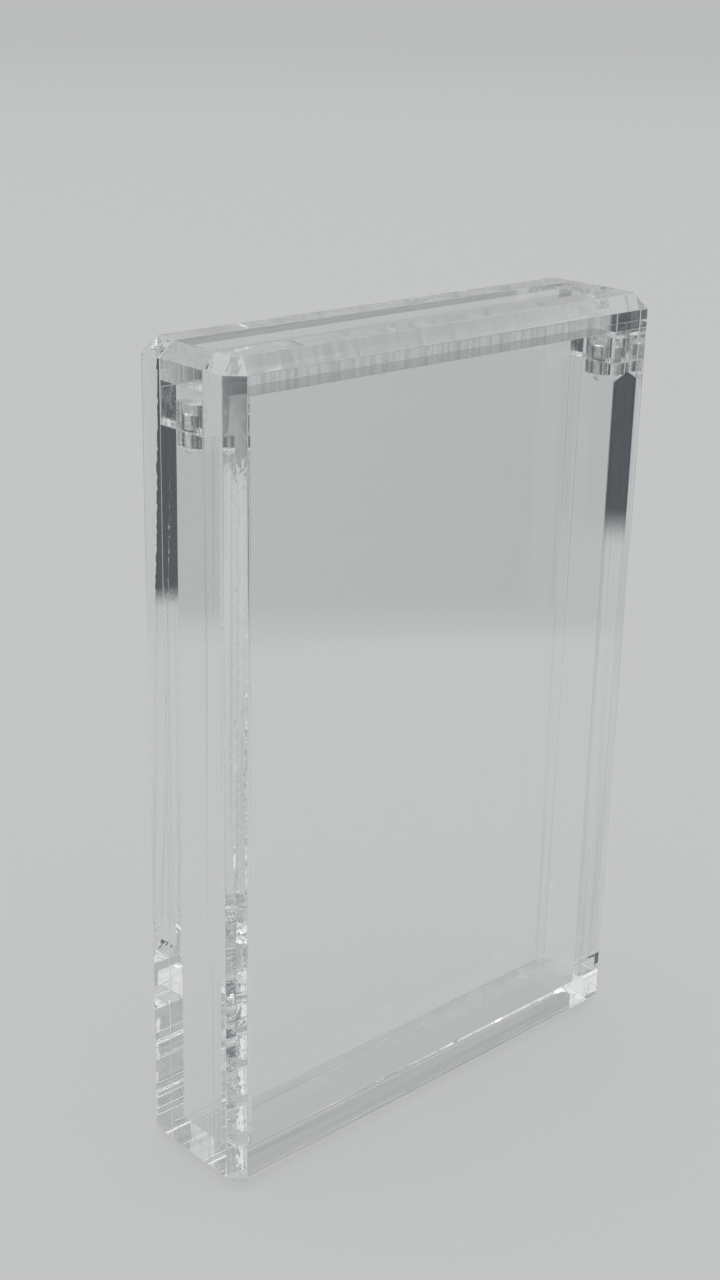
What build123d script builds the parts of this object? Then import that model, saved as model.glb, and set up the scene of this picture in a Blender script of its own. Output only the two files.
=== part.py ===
"""Clear acrylic trading card display case with a lift-off lid held by magnets.

Two thick panels stand either side of a layer of narrow bars. The base bar and the two side
walls are bonded between the panels and leave a slot for a graded card holder. The lid is the
top bar with a short foot under each end. It drops between the panels, and its feet land on
the walls, where pairs of disc magnets meet. All outer edges are bevelled in one go on the
assembled block, so each bevel runs on from piece to piece.

Origin: centre of the footprint, on the surface that the case stands on.
Axes: X runs across the width, Y from the front panel to the back panel, Z up.
"""

from build123d import *
import math
import os

# Driving dimensions, in millimetres
CASE_HEIGHT = 165.0
CASE_WIDTH = 110.5
PANEL_THICKNESS = 8.2
SLOT_DEPTH = 12.1
WALL_WIDTH = 7.4
BASE_HEIGHT = 6.5
LID_BAR_HEIGHT = 7.8
LID_FOOT_HEIGHT = 6.6
LID_SIDE_CLEARANCE = 0.15

SIDE_BEVEL = 3.0
TOP_BEVEL = 2.8
BOTTOM_BEVEL = 2.8

MAGNET_DIAMETER = 6.0
MAGNET_HEIGHT = 3.0
MAGNET_CHAMFER = 0.25
MAGNET_RECESS = 0.1
DRILL_POINT_ANGLE = 118.0
FOOT_POCKET_DEPTH = 4.7
POCKET_MOUTH_CHAMFER = 0.15

# Worked out from them
CASE_DEPTH = 2 * PANEL_THICKNESS + SLOT_DEPTH
LID_BAR_UNDERSIDE = CASE_HEIGHT - LID_BAR_HEIGHT
SEAM_HEIGHT = LID_BAR_UNDERSIDE - LID_FOOT_HEIGHT
WALL_CENTRE = (CASE_WIDTH - WALL_WIDTH) / 2
PANEL_CENTRE = (SLOT_DEPTH + PANEL_THICKNESS) / 2
LID_DEPTH = SLOT_DEPTH - 2 * LID_SIDE_CLEARANCE

# The magnet in a wall sits with its lower edge on the cone that the drill left, which sets
# how far down the straight part of its pocket goes
DRILL_POINT_SLOPE = 1 / math.tan(math.radians(DRILL_POINT_ANGLE / 2))
DRILL_POINT_DEPTH = MAGNET_DIAMETER / 2 * DRILL_POINT_SLOPE
WALL_POCKET_DEPTH = MAGNET_RECESS + MAGNET_HEIGHT - MAGNET_CHAMFER * DRILL_POINT_SLOPE

SIDES = {"left": -1, "right": 1}
UPRIGHT = (Align.CENTER, Align.CENTER, Align.MIN)
HANGING = (Align.CENTER, Align.CENTER, Align.MAX)


def keep_block_of(width, depth, height, centre, floor):
    """Keep the stretch of the bevelled block inside a box that stands on a level floor."""
    add(bevelled_block.part)
    with Locations((*centre, floor)):
        Box(width, depth, height, align=UPRIGHT, mode=Mode.INTERSECT)


# The outer form that all the bonded pieces share once the assembled block has been milled
with BuildPart() as bevelled_block:
    with BuildSketch(Plane.XY):
        Rectangle(CASE_WIDTH, CASE_DEPTH)
    extrude(amount=CASE_HEIGHT)
    chamfer(bevelled_block.edges().filter_by(Axis.Z), SIDE_BEVEL)
    chamfer(bevelled_block.faces().sort_by(Axis.Z)[-1].edges(), TOP_BEVEL)
    chamfer(bevelled_block.faces().sort_by(Axis.Z)[0].edges(), BOTTOM_BEVEL)

# Front and back panels, the full height and width of the case
with BuildPart() as front_panel:
    keep_block_of(CASE_WIDTH, PANEL_THICKNESS, CASE_HEIGHT, (0, -PANEL_CENTRE), 0)

with BuildPart() as back_panel:
    keep_block_of(CASE_WIDTH, PANEL_THICKNESS, CASE_HEIGHT, (0, PANEL_CENTRE), 0)

# The bar under the slot, bonded between the panels
with BuildPart() as base_bar:
    keep_block_of(CASE_WIDTH, SLOT_DEPTH, BASE_HEIGHT, (0, 0), 0)

# The bar over the slot, which is the top of the lid
with BuildPart() as lid_bar:
    keep_block_of(CASE_WIDTH, LID_DEPTH, LID_BAR_HEIGHT, (0, 0), LID_BAR_UNDERSIDE)

pieces = {
    "front_panel": front_panel,
    "back_panel": back_panel,
    "base_bar": base_bar,
    "lid_bar": lid_bar,
}

for side, sign in SIDES.items():
    centre = (sign * WALL_CENTRE, 0)

    # Side wall on the base bar, with a drilled pocket for its magnet in the top end
    with BuildPart() as wall:
        keep_block_of(WALL_WIDTH, SLOT_DEPTH, SEAM_HEIGHT - BASE_HEIGHT, centre, BASE_HEIGHT)
        with Locations((*centre, SEAM_HEIGHT)):
            Hole(MAGNET_DIAMETER / 2, depth=WALL_POCKET_DEPTH)
        with Locations((*centre, SEAM_HEIGHT - WALL_POCKET_DEPTH)):
            Cone(0, MAGNET_DIAMETER / 2, DRILL_POINT_DEPTH, align=HANGING, mode=Mode.SUBTRACT)
        pocket_rims = wall.edges().filter_by(GeomType.CIRCLE).sort_by(Axis.Z)
        chamfer(pocket_rims[-1], POCKET_MOUTH_CHAMFER)

    # Foot bonded under the end of the lid bar, with a flat-ended pocket in its lower end
    with BuildPart() as foot:
        keep_block_of(WALL_WIDTH, LID_DEPTH, LID_FOOT_HEIGHT, centre, SEAM_HEIGHT)
        with Locations(Plane((*centre, SEAM_HEIGHT), z_dir=(0, 0, -1))):
            Hole(MAGNET_DIAMETER / 2, depth=FOOT_POCKET_DEPTH)
        pocket_rims = foot.edges().filter_by(GeomType.CIRCLE).sort_by(Axis.Z)
        chamfer(pocket_rims[0], POCKET_MOUTH_CHAMFER)

    # The two magnets that meet at the seam, each a little below its plastic face
    with BuildPart() as wall_magnet:
        with Locations((*centre, SEAM_HEIGHT - MAGNET_RECESS - MAGNET_HEIGHT)):
            Cylinder(MAGNET_DIAMETER / 2, MAGNET_HEIGHT, align=UPRIGHT)
        chamfer(wall_magnet.edges().filter_by(GeomType.CIRCLE), MAGNET_CHAMFER)

    with BuildPart() as lid_magnet:
        with Locations((*centre, SEAM_HEIGHT + MAGNET_RECESS)):
            Cylinder(MAGNET_DIAMETER / 2, MAGNET_HEIGHT, align=UPRIGHT)
        chamfer(lid_magnet.edges().filter_by(GeomType.CIRCLE), MAGNET_CHAMFER)

    pieces[f"{side}_wall"] = wall
    pieces[f"{side}_lid_foot"] = foot
    pieces[f"{side}_wall_magnet"] = wall_magnet
    pieces[f"{side}_lid_magnet"] = lid_magnet

# Write one file for each piece, named after it
os.makedirs("parts", exist_ok=True)
for name, piece in pieces.items():
    piece.part.label = name
    export_step(piece.part, f"parts/{name}.step")
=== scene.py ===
"""The looks of the clear acrylic trading card display case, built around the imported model.

The case body is drawn as bonded acrylic: each piece is its own closed mesh, and where two pieces
are glued face to face the faces let light straight through. The lid stands off the body by the
real clearance, so its seams show as thin bright and dark lines.
"""

import math

import bmesh
import bpy
from mathutils import Matrix, Vector


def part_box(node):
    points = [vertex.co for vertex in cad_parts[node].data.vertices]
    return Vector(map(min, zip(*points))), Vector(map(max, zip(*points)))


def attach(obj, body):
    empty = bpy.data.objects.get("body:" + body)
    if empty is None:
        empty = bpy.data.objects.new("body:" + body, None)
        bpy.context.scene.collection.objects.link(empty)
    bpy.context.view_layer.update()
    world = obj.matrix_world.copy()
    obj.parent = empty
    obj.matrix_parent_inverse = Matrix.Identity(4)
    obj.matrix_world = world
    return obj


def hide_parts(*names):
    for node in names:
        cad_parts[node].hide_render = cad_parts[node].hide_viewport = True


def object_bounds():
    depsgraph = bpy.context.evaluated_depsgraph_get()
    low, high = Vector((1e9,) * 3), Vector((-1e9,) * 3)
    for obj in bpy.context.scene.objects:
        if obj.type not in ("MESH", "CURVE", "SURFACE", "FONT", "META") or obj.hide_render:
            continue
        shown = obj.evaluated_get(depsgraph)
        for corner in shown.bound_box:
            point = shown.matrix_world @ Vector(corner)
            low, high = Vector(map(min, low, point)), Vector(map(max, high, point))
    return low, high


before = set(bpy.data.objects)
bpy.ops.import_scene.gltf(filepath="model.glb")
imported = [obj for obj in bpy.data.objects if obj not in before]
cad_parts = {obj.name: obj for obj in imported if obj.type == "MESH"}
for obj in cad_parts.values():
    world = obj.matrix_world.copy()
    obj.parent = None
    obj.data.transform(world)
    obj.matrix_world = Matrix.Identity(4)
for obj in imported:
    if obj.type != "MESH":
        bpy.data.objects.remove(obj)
cad_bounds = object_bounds()

MM = 0.001
X, Y, Z = 0, 1, 2

# Which pieces are glued to each other
BODY_PIECES = ("front_panel", "back_panel", "base_bar", "left_wall", "right_wall")
LID_PIECES = ("lid_bar", "left_lid_foot", "right_lid_foot")
SIDES = ("left", "right")

# The bevels milled round the assembled block, and how far the edges are rounded
SIDE_BEVEL = 3.0 * MM
TOP_BEVEL = 2.8 * MM
BOTTOM_BEVEL = 2.8 * MM
POLISHED_RADIUS = 0.12 * MM
SCRAPED_RADIUS = 0.10 * MM
ROUNDING_SEGMENTS = 2
ROUND_PROFILE = 0.5

# Bores for the magnets, with a film of air round each magnet
BORE_AIR = 0.05 * MM
BORE_SEGMENTS = 96
FOOT_POCKET_DEPTH = 4.7 * MM
MAGNET_CHAMFER = 0.25 * MM
DRILL_POINT_ANGLE = math.radians(118)
DRILL_POINT_SLOPE = 1 / math.tan(DRILL_POINT_ANGLE / 2)
CUTTER_OVERRUN = 1.0 * MM

# The gap under the lid's feet, and how far off a face its neighbour is looked for
LID_SEAT_GAP = 0.03 * MM
PROBE_DISTANCE = 0.2 * LID_SEAT_GAP

# How close two places have to be to count as one, in metres
CUT_TOLERANCE = 1e-7
PLACE_TOLERANCE = 1e-6

# How much of a face's normal has to lie along an axis
SQUARELY_ALONG = 0.999
MOSTLY_ALONG = 0.9
BORE_END_ALONG = 0.5

# Angles between faces, or between a face and the nearest main direction of the block
SMOOTH_ANGLE = math.radians(35)
SHARP_ANGLE = math.radians(40)
FLAT_ANGLE = math.radians(3)
FLATTEN_WEIGHT = 100

# Acrylic and the glue in its joints
ACRYLIC_IOR = 1.49
CLEAR = (0.985, 0.99, 0.99, 1)
GLUE_CLEAR = (1, 1, 1, 1)
GLUE_LINE = (0.93, 0.935, 0.94, 1)
GLUE_LINE_SPAN = (0.52, 0.66)
LIGHT_CROSSINGS = 192

# Nickel plate, with a fine dull grain
NICKEL_BRIGHT = (0.99, 0.99, 0.98, 1)
NICKEL_DULL = (0.86, 0.87, 0.87, 1)
NICKEL_GRAIN = 1100
NICKEL_GRAIN_DEPTH = 0.03 * MM
NICKEL_DULL_SPAN = (0.46, 0.66)
NICKEL_WEAR_SPAN = (0.3, 0.7)
NICKEL_ROUGHNESS = (0.16, 0.36)

# Camera, fitted to the block's corners in the photo
CAMERA_PLACE = Vector((-0.24398, -0.24723, 0.22833))
CAMERA_TARGET = Vector((-0.01201, 0.0, 0.10186))
CAMERA_ROLL = math.radians(1.292)
CAMERA_RANGE = (0.01, 50)
SENSOR_HEIGHT = 36.0
FOCAL_PIXELS = 1842.03
PHOTO_HEIGHT = 1280

# Stage: a plain pale floor that runs on into pale walls under a brighter ceiling
FLOOR_REACH = 12.0
FLOOR_GAP = 0.05 * MM
FLOOR_COLOUR = (0.556, 0.566, 0.563, 1)
FLOOR_GLOW = 0.8
FLOOR_FADE = (1.5, 5.0)
HORIZON_TONE = (0.500, 0.510, 0.507, 1)
WALL_TONE = (0.42, 0.43, 0.425, 1)
WALL_FADE = (0.0, 0.15)
LIGHT_WALL_TONE = (0.80, 0.81, 0.805, 1)
LIGHT_WALL_SIDE = Vector((0.60, -0.80, 0))
LIGHT_WALL_SPAN = (0.70, 0.92)
CEILING_TONE = (2.00, 2.04, 2.02, 1)
CEILING_SPAN = (0.68, 1.0)

# One large soft lamp, behind the case and to its left
LAMP_PLACE = Vector((-1.35, 1.09, 1.22))
LAMP_TARGET = Vector((0, 0, 0.08))
LAMP_SIZE = 2.4
LAMP_POWER = 6.5

# Painted dark reflections: the floor is painted dark in places, but only for light that the case
# has reflected, so the dark shows only as reflections in the case. The dark lies past two
# straight lines that run along DARK_RUN, one on the near side of the case and one on the far side.
DARK_RUN = Vector((0.829, 0.559, 0))
DARK_NEAR_SIDE = Vector((0.559, -0.829, 0))
NEAR_EDGE = (0.270, 0.300)
NEAR_PALER_FROM = (0.680, 0.780)
NEAR_PALER_SHARE = 0.92
FAR_EDGE = (0.310, 0.370)
RUN_START = (-0.45, -0.30)
RUN_END = (0.80, 1.10)
# painted reflection colour, seen only after a reflection in the case
PAINTED_REFLECTION_DARK = (0.075, 0.078, 0.090, 1)


# ---------------------------------------------------------------- node helpers

def new_material(name):
    material = bpy.data.materials.new(name)
    material.use_nodes = True
    material.node_tree.nodes.clear()
    return material


class Nodes:
    """A short way to add and join the nodes of one tree."""

    def __init__(self, tree):
        self.tree = tree

    def add(self, kind, **values):
        node = self.tree.nodes.new(kind)
        for name, value in values.items():
            setattr(node, name, value)
        return node

    def join(self, source, target):
        self.tree.links.new(source, target)

    def noise(self, detail, roughness, scale=1.0, fineness=(1, 1, 1)):
        """Noise on the piece's own coordinates, in metres, with its fineness along each axis."""
        place = self.add("ShaderNodeTexCoord")
        mapping = self.add("ShaderNodeMapping")
        mapping.inputs["Scale"].default_value = fineness
        self.join(place.outputs["Object"], mapping.inputs["Vector"])
        noise = self.add("ShaderNodeTexNoise")
        noise.inputs["Scale"].default_value = scale
        noise.inputs["Detail"].default_value = detail
        noise.inputs["Roughness"].default_value = roughness
        self.join(mapping.outputs["Vector"], noise.inputs["Vector"])
        return noise.outputs["Fac"]

    def math(self, operation, first, second):
        node = self.add("ShaderNodeMath", operation=operation)
        self.join(first, node.inputs[0])
        self.join(second, node.inputs[1])
        return node.outputs["Value"]

    def dot(self, vector, direction):
        node = self.add("ShaderNodeVectorMath", operation="DOT_PRODUCT")
        self.join(vector, node.inputs[0])
        node.inputs[1].default_value = direction
        return node.outputs["Value"]

    def remap(self, source, low, high, out_low=0, out_high=1, smooth=False):
        """The source's stretch from low to high, laid over the outputs and held at its ends."""
        node = self.add("ShaderNodeMapRange")
        node.interpolation_type = "SMOOTHSTEP" if smooth else "LINEAR"
        node.inputs["From Min"].default_value = low
        node.inputs["From Max"].default_value = high
        node.inputs["To Min"].default_value = out_low
        node.inputs["To Max"].default_value = out_high
        self.join(source, node.inputs["Value"])
        return node.outputs["Result"]

    def mix(self, first, second, factor):
        """A colour that goes from the first to the second as the factor goes from 0 to 1."""
        node = self.add("ShaderNodeMix", data_type="RGBA")
        for name, colour in (("A", first), ("B", second)):
            if isinstance(colour, bpy.types.NodeSocket):
                self.join(colour, node.inputs[name])
            else:
                node.inputs[name].default_value = colour
        self.join(factor, node.inputs["Factor"])
        return node.outputs["Result"]

    def blend(self, first, second, factor):
        """A shader that goes from the first to the second as the factor goes from 0 to 1."""
        node = self.add("ShaderNodeMixShader")
        self.join(factor, node.inputs["Fac"])
        self.join(first, node.inputs[1])
        self.join(second, node.inputs[2])
        return node.outputs["Shader"]

    def bump(self, height, distance):
        node = self.add("ShaderNodeBump")
        node.inputs["Distance"].default_value = distance
        self.join(height, node.inputs["Height"])
        return node.outputs["Normal"]

    def show(self, shader):
        """Make the shader the one that the material shows."""
        output = self.add("ShaderNodeOutputMaterial")
        self.join(shader, output.inputs["Surface"])


# ------------------------------------------------------------------ materials

def acrylic(name, marks, mark_span, roughness_span, depth, tint=None, clearness=None):
    """Clear acrylic with the marks that a cutter or a polish left on the face.

    marks is how fine they are along each axis, and clearness is how much light passes on without
    scattering, off the marks and on them.
    """
    material = new_material(name)
    nodes = Nodes(material.node_tree)
    shader = nodes.add("ShaderNodeBsdfPrincipled")
    shader.inputs["Transmission Weight"].default_value = 1.0
    shader.inputs["IOR"].default_value = ACRYLIC_IOR
    shader.inputs["Base Color"].default_value = CLEAR
    lines = nodes.noise(detail=3, roughness=0.7, fineness=marks)
    nodes.join(nodes.remap(lines, *mark_span, *roughness_span), shader.inputs["Roughness"])
    if tint:
        marked = nodes.remap(lines, *mark_span)
        nodes.join(nodes.mix(CLEAR, tint, marked), shader.inputs["Base Color"])
    if clearness:
        nodes.join(nodes.remap(lines, *mark_span, *clearness),
                   shader.inputs["Transmission Weight"])
    nodes.join(nodes.bump(lines, depth), shader.inputs["Normal"])
    nodes.show(shader.outputs["BSDF"])
    return material


def bonded_joint(name, flow):
    """Glued faces. The glue has the acrylic's index, so light goes on past faint flow lines.

    flow is how fine the lines are along each axis.
    """
    material = new_material(name)
    nodes = Nodes(material.node_tree)
    shader = nodes.add("ShaderNodeBsdfTransparent")
    lines = nodes.noise(detail=2, roughness=0.6, fineness=flow)
    nodes.join(nodes.mix(GLUE_CLEAR, GLUE_LINE, nodes.remap(lines, *GLUE_LINE_SPAN)),
               shader.inputs["Color"])
    nodes.show(shader.outputs["BSDF"])
    return material


def nickel_plate(name):
    material = new_material(name)
    nodes = Nodes(material.node_tree)
    shader = nodes.add("ShaderNodeBsdfPrincipled")
    shader.inputs["Metallic"].default_value = 1.0
    wear = nodes.noise(detail=5, roughness=0.6, scale=NICKEL_GRAIN)
    nodes.join(nodes.mix(NICKEL_BRIGHT, NICKEL_DULL, nodes.remap(wear, *NICKEL_DULL_SPAN)),
               shader.inputs["Base Color"])
    nodes.join(nodes.remap(wear, *NICKEL_WEAR_SPAN, *NICKEL_ROUGHNESS), shader.inputs["Roughness"])
    nodes.join(nodes.bump(wear, NICKEL_GRAIN_DEPTH), shader.inputs["Normal"])
    nodes.show(shader.outputs["BSDF"])
    return material


def painted_dark_reflection(nodes, place, path):
    """How much painted dark reflection the floor shows at a place: only reflected light sees it."""
    to_near_side = nodes.dot(place, DARK_NEAR_SIDE)
    to_far_side = nodes.dot(place, -DARK_NEAR_SIDE)
    along = nodes.dot(place, DARK_RUN)
    near = nodes.math("MULTIPLY", nodes.remap(to_near_side, *NEAR_EDGE, smooth=True),
                      nodes.remap(to_near_side, *NEAR_PALER_FROM, 1, NEAR_PALER_SHARE, smooth=True))
    far = nodes.remap(to_far_side, *FAR_EDGE, smooth=True)
    ends = nodes.math("MULTIPLY", nodes.remap(along, *RUN_START, smooth=True),
                      nodes.remap(along, *RUN_END, 1, 0, smooth=True))
    dark = nodes.math("MULTIPLY", nodes.math("MAXIMUM", near, far), ends)
    reflected = nodes.remap(path.outputs["Glossy Depth"], 0, 1)
    return nodes.math("MULTIPLY", dark, reflected)


def pale_table(name):
    """The pale floor, partly lit by itself, which fades into the walls' tone far off.

    A painted dark reflection lies on it too: its colour goes dark only for reflected light.
    """
    material = new_material(name)
    nodes = Nodes(material.node_tree)
    place = nodes.add("ShaderNodeNewGeometry").outputs["Position"]
    path = nodes.add("ShaderNodeLightPath")
    # painted reflection: the floor's colour goes dark where only light reflected by the case sees
    # it
    surface = nodes.mix(FLOOR_COLOUR, PAINTED_REFLECTION_DARK, painted_dark_reflection(nodes, place, path))

    diffuse = nodes.add("ShaderNodeBsdfDiffuse")
    nodes.join(surface, diffuse.inputs["Color"])
    glow = nodes.add("ShaderNodeEmission")
    nodes.join(surface, glow.inputs["Color"])
    seen = nodes.math("MAXIMUM", path.outputs["Is Camera Ray"], path.outputs["Is Glossy Ray"])
    seen = nodes.math("MAXIMUM", seen, path.outputs["Is Transmission Ray"])
    floor = nodes.blend(diffuse.outputs["BSDF"], glow.outputs["Emission"],
                        nodes.remap(seen, 0, 1, 0, FLOOR_GLOW))

    distance = nodes.add("ShaderNodeVectorMath", operation="LENGTH")
    nodes.join(place, distance.inputs[0])
    far_off = nodes.remap(distance.outputs["Value"], *FLOOR_FADE, smooth=True)
    horizon = nodes.add("ShaderNodeEmission")
    horizon.inputs["Color"].default_value = HORIZON_TONE
    nodes.show(nodes.blend(floor, horizon.outputs["Emission"], far_off))
    return material


POLISHED = acrylic("polished_acrylic", marks=(160, 160, 160), mark_span=(0.45, 0.75),
                   roughness_span=(0.0, 0.012), depth=0.003 * MM)
SAWN = acrylic("sawn_acrylic", marks=(700, 700, 12), mark_span=(0.46, 0.58),
               roughness_span=(0.0, 0.13), depth=0.03 * MM, tint=(0.75, 0.76, 0.765, 1))
FROSTED = acrylic("frosted_bore", marks=(700, 700, 400), mark_span=(0.38, 0.58),
                  roughness_span=(0.03, 0.28), depth=0.05 * MM, tint=(0.99, 0.99, 0.99, 1),
                  clearness=(1.0, 0.97))
FOOT_SIDE = acrylic("foot_side", marks=(450, 450, 260), mark_span=(0.38, 0.62),
                    roughness_span=(0.04, 0.46), depth=0.05 * MM, clearness=(1.0, 0.93))
DRILLED = acrylic("drilled_bottom", marks=(500, 500, 500), mark_span=(0.35, 0.65),
                  roughness_span=(0.0, 0.14), depth=0.01 * MM, tint=(0.96, 0.965, 0.965, 1))
SCUFFED = acrylic("scuffed_edge", marks=(300, 300, 300), mark_span=(0.35, 0.65),
                  roughness_span=(0.06, 0.24), depth=0.01 * MM)
UPRIGHT_GLUE = bonded_joint("upright_glue", flow=(900, 900, 8))
LEVEL_GLUE = bonded_joint("level_glue", flow=(12, 300, 700))
NICKEL = nickel_plate("nickel_plate")


# --------------------------------------------------------------------- meshes

def octagon(half_width, half_depth, cut, height):
    """The block's outline at one height: a rectangle with its corners cut off."""
    corners = []
    for x, y in ((1, 1), (-1, 1), (-1, -1), (1, -1)):
        along_x = Vector((x * (half_width - cut), y * half_depth, height))
        along_y = Vector((x * half_width, y * (half_depth - cut), height))
        corners += [along_y, along_x] if x * y > 0 else [along_x, along_y]
    return corners


def bevelled_block():
    """The assembled block with all its outer edges bevelled and then rounded a little."""
    low, high = (Vector(corner) for corner in cad_bounds)
    half_width, half_depth = high.x, high.y
    # How much a corner's cut shrinks for each unit that all eight sides move in
    cut_shrink = 2 - math.sqrt(2)
    rings = []
    for height, inset in ((low.z, BOTTOM_BEVEL), (low.z + BOTTOM_BEVEL, 0),
                          (high.z - TOP_BEVEL, 0), (high.z, TOP_BEVEL)):
        cut = SIDE_BEVEL - inset * cut_shrink
        rings.append(octagon(half_width - inset, half_depth - inset, cut, height))
    block = bmesh.new()
    loops = [[block.verts.new(point) for point in ring] for ring in rings]
    count = len(loops[0])
    for lower, upper in zip(loops, loops[1:]):
        for i in range(count):
            j = (i + 1) % count
            block.faces.new((lower[i], lower[j], upper[j], upper[i]))
    block.faces.new(list(reversed(loops[0])))
    block.faces.new(loops[-1])
    round_edges(block, block.edges, POLISHED_RADIUS)
    return block


def round_edges(mesh, edges, radius, clamp=True):
    bmesh.ops.bevel(mesh, geom=list(edges), offset=radius, offset_type="OFFSET",
                    segments=ROUNDING_SEGMENTS, profile=ROUND_PROFILE, affect="EDGES",
                    clamp_overlap=clamp)
    bmesh.ops.recalc_face_normals(mesh, faces=mesh.faces)


def trim(mesh, axis, value, keep_above):
    """Cut the mesh at a plane across an axis, drop one side and close the cut."""
    normal = Vector((0, 0, 0))
    normal[axis] = -1 if keep_above else 1
    place = Vector((0, 0, 0))
    place[axis] = value
    parts = list(mesh.verts) + list(mesh.edges) + list(mesh.faces)
    cut = bmesh.ops.bisect_plane(mesh, geom=parts, dist=CUT_TOLERANCE, plane_co=place,
                                 plane_no=normal, clear_outer=True)
    rim = [part for part in cut["geom_cut"] if isinstance(part, bmesh.types.BMEdge)]
    bmesh.ops.edgeloop_fill(mesh, edges=rim)


def score(mesh, face_axis, face_value, axis, value):
    """Split the flat faces in one plane along a straight line, without moving anything."""
    faces = [face for face in mesh.faces
             if all(abs(v.co[face_axis] - face_value) < PLACE_TOLERANCE for v in face.verts)]
    parts = set(faces)
    for face in faces:
        parts.update(face.edges, face.verts)
    normal = Vector((0, 0, 0))
    normal[axis] = 1
    bmesh.ops.bisect_plane(mesh, geom=list(parts), dist=CUT_TOLERANCE, plane_no=normal,
                           plane_co=normal * value)


def on_block_skin(face):
    """Whether a face belongs to the outer form, rather than to a cut inside the block."""
    low, high = cad_bounds
    place = face.verts[0].co
    if max(abs(part) for part in face.normal) < SQUARELY_ALONG:
        return True
    return any(abs(face.normal[i]) > SQUARELY_ALONG
               and min(abs(place[i] - low[i]), abs(place[i] - high[i])) < PLACE_TOLERANCE
               for i in (X, Y, Z))


def scrape_edges(mesh, on_rim):
    """Take the sharpness off the cut edges, and off the outer edges that are on a loose rim."""
    edges = []
    for edge in mesh.edges:
        if len(edge.link_faces) != 2 or edge.calc_face_angle(0) < SHARP_ANGLE:
            continue
        skins = sum(on_block_skin(face) for face in edge.link_faces)
        if skins == 0 or (skins == 1 and on_rim(edge)):
            edges.append(edge)
    round_edges(mesh, edges, SCRAPED_RADIUS, clamp=False)


def slice_of_block(low, high):
    """The stretch of the block between two corners of a box."""
    mesh = BLOCK.copy()
    block_low, block_high = cad_bounds
    for axis in (X, Y, Z):
        if low[axis] > block_low[axis] + PLACE_TOLERANCE:
            trim(mesh, axis, low[axis], keep_above=True)
        if high[axis] < block_high[axis] - PLACE_TOLERANCE:
            trim(mesh, axis, high[axis], keep_above=False)
    bmesh.ops.recalc_face_normals(mesh, faces=mesh.faces)
    return mesh


def to_object(mesh, name, *materials):
    data = bpy.data.meshes.new(name)
    mesh.to_mesh(data)
    mesh.free()
    piece = bpy.data.objects.new(name, data)
    bpy.context.scene.collection.objects.link(piece)
    for material in materials:
        data.materials.append(material)
    return piece


def drill_bit(name, centre, radius, bottom, top, point):
    """A closed cylinder of flat strips, with a cone as deep as point under it if that isn't 0."""
    mesh = bmesh.new()
    turn = 2 * math.pi / BORE_SEGMENTS
    rings = []
    for height in (bottom, top):
        rings.append([mesh.verts.new((centre[0] + radius * math.cos(i * turn),
                                      centre[1] + radius * math.sin(i * turn), height))
                      for i in range(BORE_SEGMENTS)])
    lower, upper = rings
    for i in range(BORE_SEGMENTS):
        j = (i + 1) % BORE_SEGMENTS
        mesh.faces.new((lower[i], lower[j], upper[j], upper[i]))
    mesh.faces.new(upper)
    if point:
        tip = mesh.verts.new((*centre, bottom - point))
        for i in range(BORE_SEGMENTS):
            mesh.faces.new((lower[(i + 1) % BORE_SEGMENTS], lower[i], tip))
    else:
        mesh.faces.new(list(reversed(lower)))
    return to_object(mesh, name)


def drill(piece, centre, radius, bottom, top, point=0):
    """Bore an upright hole into the piece, between two heights."""
    cutter = drill_bit(piece.name + "_cutter", centre, radius, bottom, top, point)
    modifier = piece.modifiers.new("bore", "BOOLEAN")
    modifier.operation = "DIFFERENCE"
    modifier.solver = "EXACT"
    modifier.object = cutter
    bpy.context.view_layer.update()
    evaluated = piece.evaluated_get(bpy.context.evaluated_depsgraph_get())
    bored = bpy.data.meshes.new_from_object(evaluated)
    piece.modifiers.clear()
    piece.data = bored
    bpy.data.objects.remove(cutter)


def inside(point, node):
    low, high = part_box(node)
    return all(low[i] < point[i] < high[i] for i in (X, Y, Z))


def main_directions():
    """The ways that the block's flat faces and bevels look."""
    eighth = math.pi / 4
    return [Vector((math.cos(rise * eighth) * math.cos(turn * eighth),
                    math.cos(rise * eighth) * math.sin(turn * eighth),
                    math.sin(rise * eighth)))
            for rise in (-2, -1, 0, 1, 2) for turn in range(8)]


def on_rounded_edge(face):
    return all(face.normal.angle(direction) > FLAT_ANGLE for direction in MAIN_DIRECTIONS)


def in_bore(face, bore):
    centre, radius = bore
    return (face.center.xy - Vector(centre)).length < radius


def finish_faces(piece, neighbours, cut_finish, bore=None, level_glue_top=0):
    """Give each face its finish, by what lies beyond it and how it was cut.

    The glue's flow lines are level on flat joints, and on upright ones below level_glue_top.
    """
    finishes = (POLISHED, SAWN, FOOT_SIDE, FROSTED, DRILLED, SCUFFED, UPRIGHT_GLUE,
                LEVEL_GLUE)
    data = piece.data
    data.materials.clear()
    for finish in finishes:
        data.materials.append(finish)
    for face in data.polygons:
        beyond = face.center + face.normal * PROBE_DISTANCE
        if any(inside(beyond, node) for node in neighbours):
            level = face.center.z < level_glue_top or abs(face.normal.z) > MOSTLY_ALONG
            finish = LEVEL_GLUE if level else UPRIGHT_GLUE
        elif bore and in_bore(face, bore):
            finish = FROSTED if abs(face.normal.z) < BORE_END_ALONG else DRILLED
        elif on_rounded_edge(face):
            finish = SCUFFED
        else:
            finish = cut_finish(face)
        face.material_index = finishes.index(finish)
    data.set_sharp_from_angle(angle=SMOOTH_ANGLE)
    flatten = piece.modifiers.new("flat_faces", "WEIGHTED_NORMAL")
    flatten.weight = FLATTEN_WEIGHT
    flatten.keep_sharp = True


MAIN_DIRECTIONS = main_directions()
BLOCK = bevelled_block()


# --------------------------------------------------------------------- pieces

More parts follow.
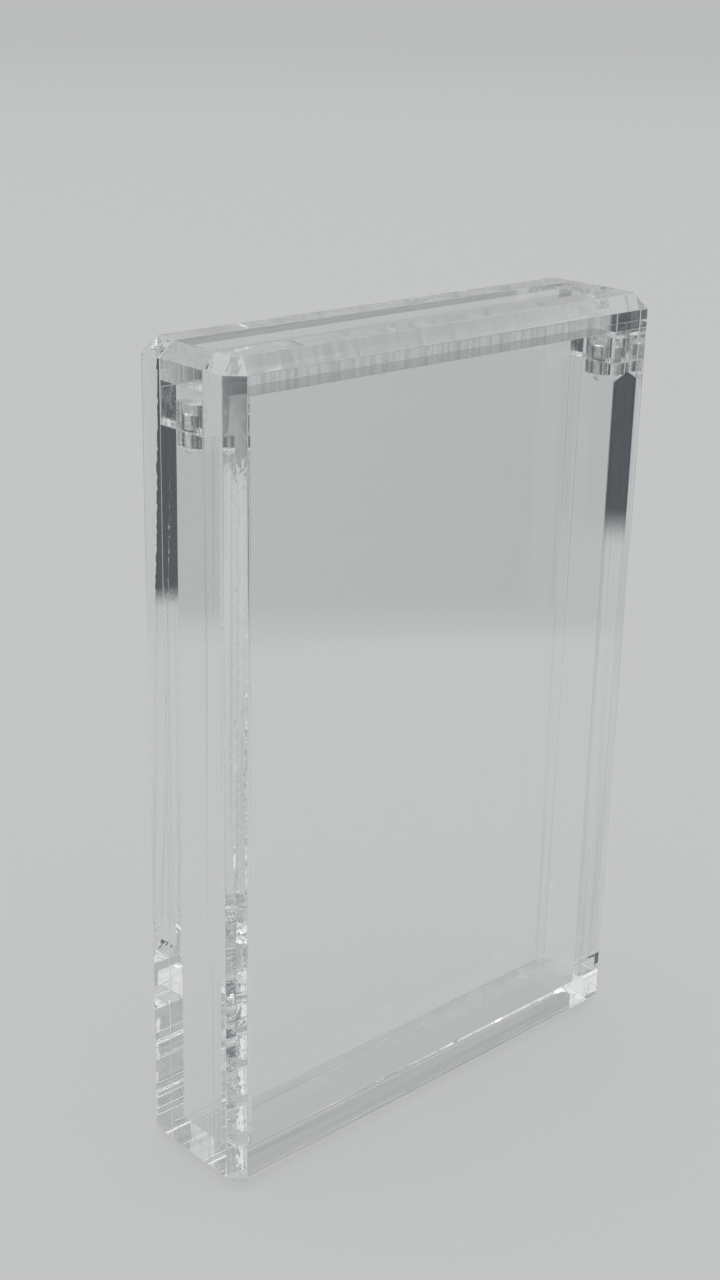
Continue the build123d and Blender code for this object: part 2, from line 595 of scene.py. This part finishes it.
def bore_of(magnet):
    """Where the bore for a magnet stands: its centre and its radius."""
    low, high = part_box(magnet)
    radius = (high.x - low.x) / 2 + BORE_AIR
    return ((low.x + high.x) / 2, (low.y + high.y) / 2), radius


def drill_wall(piece, node, top):
    """Drill a wall's pocket, in which the magnet's chamfer sits on the cone of the drill."""
    centre, radius = bore_of(node + "_magnet")
    magnet_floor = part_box(node + "_magnet")[0].z
    shoulder = magnet_floor + MAGNET_CHAMFER * DRILL_POINT_SLOPE
    drill(piece, centre, radius, shoulder, top + CUTTER_OVERRUN,
          point=radius * DRILL_POINT_SLOPE)
    return centre, radius


def drill_foot(piece, node, bottom):
    """Drill the magnet's flat-ended pocket into the underside of a lid foot."""
    centre, radius = bore_of(node.replace("foot", "magnet"))
    drill(piece, centre, radius, bottom - CUTTER_OVERRUN,
          bottom - LID_SEAT_GAP + FOOT_POCKET_DEPTH)
    return centre, radius


def body_piece(node):
    """One bonded piece of the body, scored where the finish of a face changes."""
    low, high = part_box(node)
    wall_low, wall_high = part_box("right_wall")
    mesh = slice_of_block(low, high)
    bond_edge = wall_low.x + SCRAPED_RADIUS
    if node.endswith("panel"):
        inner = low.y if low.y > 0 else high.y
        for x in (bond_edge, -bond_edge):
            score(mesh, Y, inner, X, x)
        for z in (wall_low.z - SCRAPED_RADIUS, wall_low.z + SCRAPED_RADIUS,
                  wall_high.z - SCRAPED_RADIUS):
            score(mesh, Y, inner, Z, z)
    if node == "base_bar":
        for x in (bond_edge, -bond_edge):
            score(mesh, Z, high.z, X, x)
    scrape_edges(mesh, lambda edge: True)
    piece = to_object(mesh, node + "_clear")
    bore = drill_wall(piece, node, high.z) if node.endswith("wall") else None
    neighbours = [other for other in BODY_PIECES if other != node]
    finish_faces(piece, neighbours, lambda face: POLISHED, bore, level_glue_top=wall_low.z)
    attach(piece, "case")
    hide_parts(node)


def lid_piece(node):
    """The lid's bar, or one of its feet with the seat gap left open under it."""
    low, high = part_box(node)
    foot = node != "lid_bar"
    side_cut = FOOT_SIDE if foot else SAWN

    def on_loose_rim(edge):
        """Whether an outer edge borders one of the lid's cut sides or a foot's underside."""
        cuts = [face for face in edge.link_faces if not on_block_skin(face)]
        return any(abs(face.normal.y) > MOSTLY_ALONG
                   or (foot and face.normal.z < -MOSTLY_ALONG) for face in cuts)

    if foot:
        low = low + Vector((0, 0, LID_SEAT_GAP))
    mesh = slice_of_block(low, high)
    if not foot:
        bond_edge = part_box("right_lid_foot")[0].x + SCRAPED_RADIUS
        for x in (bond_edge, -bond_edge):
            score(mesh, Z, low.z, X, x)
    scrape_edges(mesh, on_loose_rim)
    piece = to_object(mesh, node + "_clear")
    bore = drill_foot(piece, node, low.z) if foot else None
    neighbours = [other for other in LID_PIECES if other != node]
    finish_faces(piece, neighbours,
                 lambda face: side_cut if abs(face.normal.y) > MOSTLY_ALONG else POLISHED, bore)
    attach(piece, "lid")
    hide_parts(node)


for node in BODY_PIECES:
    body_piece(node)
for node in LID_PIECES:
    lid_piece(node)
for side in SIDES:
    for magnet in (f"{side}_wall_magnet", f"{side}_lid_magnet"):
        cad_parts[magnet].material_slots[0].material = NICKEL


# ---------------------------------------------------------------------- stage

def pale_floor():
    mesh = bmesh.new()
    bmesh.ops.create_grid(mesh, x_segments=1, y_segments=1, size=FLOOR_REACH)
    floor = to_object(mesh, "floor", pale_table("pale_table"))
    floor.location.z = -FLOOR_GAP


def pale_world():
    """Pale walls all round, as light as the floor where they meet it, and a brighter ceiling."""
    world = bpy.data.worlds.new("pale_room")
    world.use_nodes = True
    world.node_tree.nodes.clear()
    nodes = Nodes(world.node_tree)
    direction = nodes.add("ShaderNodeTexCoord").outputs["Generated"]
    height = nodes.dot(direction, (0, 0, 1))
    facing = nodes.dot(direction, LIGHT_WALL_SIDE)
    wall = nodes.mix(WALL_TONE, LIGHT_WALL_TONE,
                     nodes.remap(facing, *LIGHT_WALL_SPAN, smooth=True))
    wall = nodes.mix(HORIZON_TONE, wall, nodes.remap(height, *WALL_FADE, smooth=True))
    room = nodes.mix(wall, CEILING_TONE, nodes.remap(height, *CEILING_SPAN, smooth=True))
    background = nodes.add("ShaderNodeBackground")
    nodes.join(room, background.inputs["Color"])
    output = nodes.add("ShaderNodeOutputWorld")
    nodes.join(background.outputs["Background"], output.inputs["Surface"])
    bpy.context.scene.world = world


def soft_lamp():
    light = bpy.data.lights.new("soft_window", "AREA")
    light.shape = "SQUARE"
    light.size = LAMP_SIZE
    light.energy = LAMP_POWER
    lamp = bpy.data.objects.new("soft_window", light)
    lamp.location = LAMP_PLACE
    lamp.rotation_euler = (LAMP_TARGET - LAMP_PLACE).to_track_quat("-Z", "Y").to_euler()
    bpy.context.scene.collection.objects.link(lamp)


def photo_camera():
    data = bpy.data.cameras.new("photo_camera")
    data.sensor_fit = "VERTICAL"
    data.sensor_height = SENSOR_HEIGHT
    data.lens = FOCAL_PIXELS * SENSOR_HEIGHT / PHOTO_HEIGHT
    data.clip_start, data.clip_end = CAMERA_RANGE
    camera = bpy.data.objects.new("photo_camera", data)
    aim = (CAMERA_TARGET - CAMERA_PLACE).to_track_quat("-Z", "Y").to_matrix()
    roll = Matrix.Rotation(CAMERA_ROLL, 3, "Z")
    camera.matrix_world = Matrix.LocRotScale(CAMERA_PLACE, (aim @ roll).to_quaternion(), None)
    bpy.context.scene.collection.objects.link(camera)
    bpy.context.scene.camera = camera


def let_light_through():
    """Light crosses a block of acrylic many times before it comes out again."""
    cycles = bpy.context.scene.cycles
    cycles.max_bounces = LIGHT_CROSSINGS
    cycles.transmission_bounces = LIGHT_CROSSINGS
    cycles.glossy_bounces = LIGHT_CROSSINGS
    cycles.transparent_max_bounces = LIGHT_CROSSINGS


pale_floor()
pale_world()
soft_lamp()
photo_camera()
let_light_through()
bpy.context.scene.view_settings.view_transform = "Standard"
